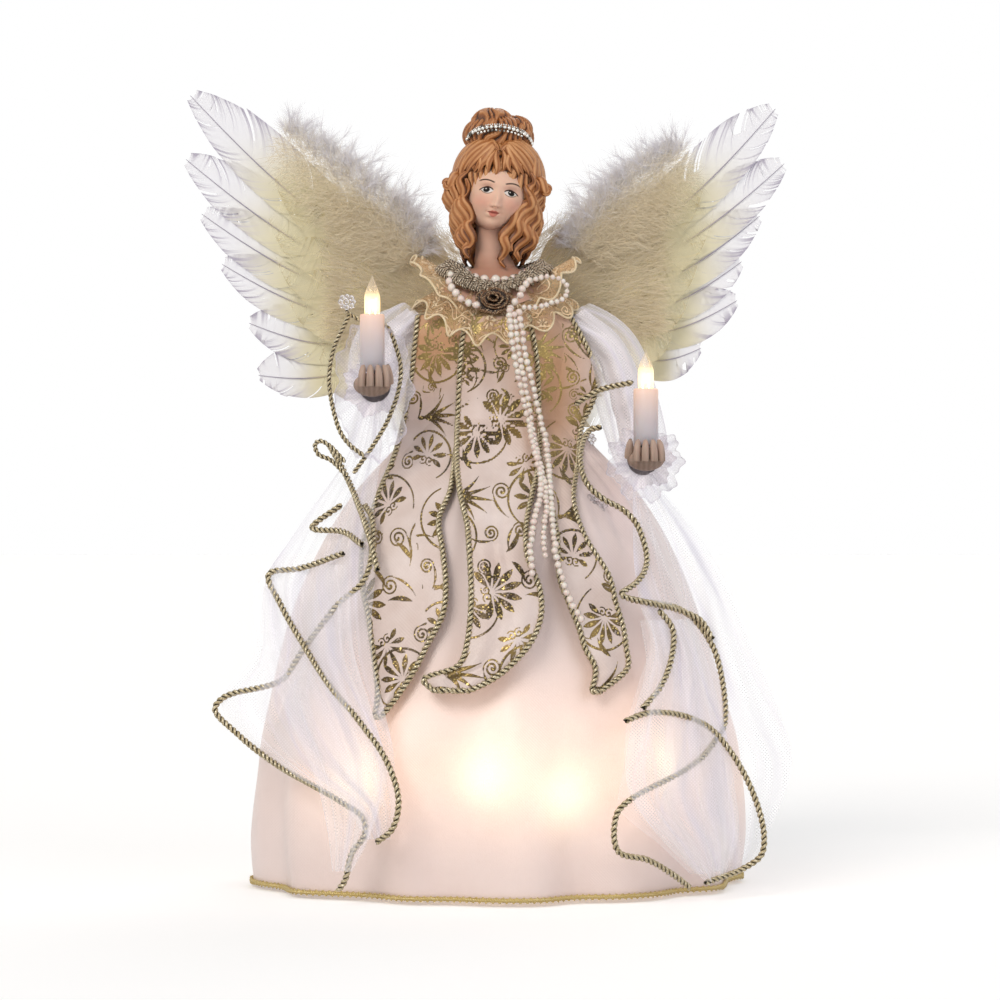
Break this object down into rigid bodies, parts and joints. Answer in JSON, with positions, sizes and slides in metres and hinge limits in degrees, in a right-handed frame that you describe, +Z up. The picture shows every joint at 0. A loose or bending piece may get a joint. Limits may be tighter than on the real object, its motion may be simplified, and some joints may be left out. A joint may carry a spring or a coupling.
{
  "type": "angel tree topper",
  "caption": "Robed angel figure with feather wings and two lamp candles on a hollow cone that slips over a tree's leader, lit from inside the skirt.",
  "frame": {"origin": "on the support cone's axis, in the plane of its rim", "axes": "+Z up along the cone, -Y towards the viewer, +X to the viewer's right"},
  "size_m": [0.2639, 0.1985, 0.3378],
  "materials": {
    "shell": "satin",
    "wire": "satin",
    "lamp_glass": "clear, lit warm white",
    "satin": "satin sheen",
    "brocade": "woven with antique gold",
    "gold_cord": "twisted metallic cord",
    "painted_resin": "hand painted",
    "antique_silver": "tarnished",
    "lace": "ivory lace",
    "pearl": "pearl lustre",
    "steel": "drawn wire",
    "candle": "ivory",
    "organza": "sheer",
    "card": "plain",
    "feather": "goose feather",
    "marabou": "down"
  },
  "bodies": {
    "figure": {"support_cone": "shell", "light_string": "wire", "torso": "shell", "bodice": "brocade", "skirt": "satin", "skirt_hem_cord": "gold_cord", "head": "painted_resin", "tiara": "antique_silver", "lace_collar": "lace", "braid_collar": "gold_cord", "pearl_necklace": "pearl", "front_panel_left": "brocade", "front_panel_centre": "brocade", "front_panel_right": "brocade", "rosette": "gold_cord", "pearl_strand_left": "pearl", "pearl_strand_right": "pearl", "wing_bracket": "steel", "organza_drape_left": "organza", "organza_cord_left": "gold_cord", "organza_drape_right": "organza", "organza_cord_right": "gold_cord"},
    "left_arm": {"arm_wire_left": "steel", "satin_sleeve_left": "satin", "cuff_left": "satin", "hand_left": "painted_resin", "candle_tube_left": "candle", "candle_socket_left": "wire"},
    "left_wing": {"wing_card_left": "card", "marabou_left": "marabou", "wing_feather_left_1": "feather", "wing_feather_left_2": "feather", "wing_feather_left_3": "feather", "wing_feather_left_4": "feather", "wing_feather_left_5": "feather", "wing_feather_left_6": "feather"},
    "left_candle_lamp": {"candle_bulb_left": "lamp_glass"},
    "right_arm": {"arm_wire_right": "steel", "satin_sleeve_right": "satin", "cuff_right": "satin", "hand_right": "painted_resin", "candle_tube_right": "candle", "candle_socket_right": "wire"},
    "right_wing": {"wing_card_right": "card", "marabou_right": "marabou", "wing_feather_right_1": "feather", "wing_feather_right_2": "feather", "wing_feather_right_3": "feather", "wing_feather_right_4": "feather", "wing_feather_right_5": "feather", "wing_feather_right_6": "feather"},
    "right_candle_lamp": {"candle_bulb_right": "lamp_glass"},
    "skirt_lamp_1": {"skirt_bulb_1": "lamp_glass"},
    "skirt_lamp_2": {"skirt_bulb_2": "lamp_glass"},
    "skirt_lamp_3": {"skirt_bulb_3": "lamp_glass"},
    "skirt_lamp_4": {"skirt_bulb_4": "lamp_glass"},
    "skirt_lamp_5": {"skirt_bulb_5": "lamp_glass"},
    "skirt_lamp_6": {"skirt_bulb_6": "lamp_glass"},
    "skirt_lamp_7": {"skirt_bulb_7": "lamp_glass"},
    "skirt_lamp_8": {"skirt_bulb_8": "lamp_glass"}
  },
  "joints": [
    {"name": "left_wing_fold", "type": "hinge", "parent": "figure", "child": "left_wing", "pos_m": [-0.014, 0.03232, 0.2272], "axis": [0, 0, -1], "range_deg": [0, 50]},
    {"name": "right_wing_fold", "type": "hinge", "parent": "figure", "child": "right_wing", "pos_m": [0.014, 0.03232, 0.2272], "axis": [0, 0, 1], "range_deg": [0, 50]},
    {"name": "left_arm_swing", "type": "hinge", "parent": "figure", "child": "left_arm", "pos_m": [-0.03, 0, 0.235], "axis": [1, 0, 0], "range_deg": [-15, 6], "deforming": ["organza_drape_left", "organza_cord_left"]},
    {"name": "right_arm_swing", "type": "hinge", "parent": "figure", "child": "right_arm", "pos_m": [0.03, 0, 0.235], "axis": [1, 0, 0], "range_deg": [-15, 6], "deforming": ["organza_drape_right", "organza_cord_right"]},
    {"name": "left_candle_lamp_pull", "type": "slide", "parent": "left_arm", "child": "left_candle_lamp", "axis": [0, 0, 1], "range_m": [0, 0.0095]},
    {"name": "right_candle_lamp_pull", "type": "slide", "parent": "right_arm", "child": "right_candle_lamp", "axis": [0, 0, 1], "range_m": [0, 0.0095]},
    {"name": "skirt_lamp_1_pull", "type": "slide", "parent": "figure", "child": "skirt_lamp_1", "axis": [-0.6018, -0.7986, 0], "range_m": [0, 0.0095]},
    {"name": "skirt_lamp_2_pull", "type": "slide", "parent": "figure", "child": "skirt_lamp_2", "axis": [-0.0349, -0.9994, 0], "range_m": [0, 0.0095]},
    {"name": "skirt_lamp_3_pull", "type": "slide", "parent": "figure", "child": "skirt_lamp_3", "axis": [0.309, -0.9511, 0], "range_m": [0, 0.0095]},
    {"name": "skirt_lamp_4_pull", "type": "slide", "parent": "figure", "child": "skirt_lamp_4", "axis": [0.809, -0.5878, 0], "range_m": [0, 0.0095]},
    {"name": "skirt_lamp_5_pull", "type": "slide", "parent": "figure", "child": "skirt_lamp_5", "axis": [0.9945, 0.1045, 0], "range_m": [0, 0.0095]},
    {"name": "skirt_lamp_6_pull", "type": "slide", "parent": "figure", "child": "skirt_lamp_6", "axis": [0.6428, 0.766, 0], "range_m": [0, 0.0095]},
    {"name": "skirt_lamp_7_pull", "type": "slide", "parent": "figure", "child": "skirt_lamp_7", "axis": [-0.0698, 0.9976, 0], "range_m": [0, 0.0095]},
    {"name": "skirt_lamp_8_pull", "type": "slide", "parent": "figure", "child": "skirt_lamp_8", "axis": [-0.9703, 0.2419, 0], "range_m": [0, 0.0095]}
  ]
}
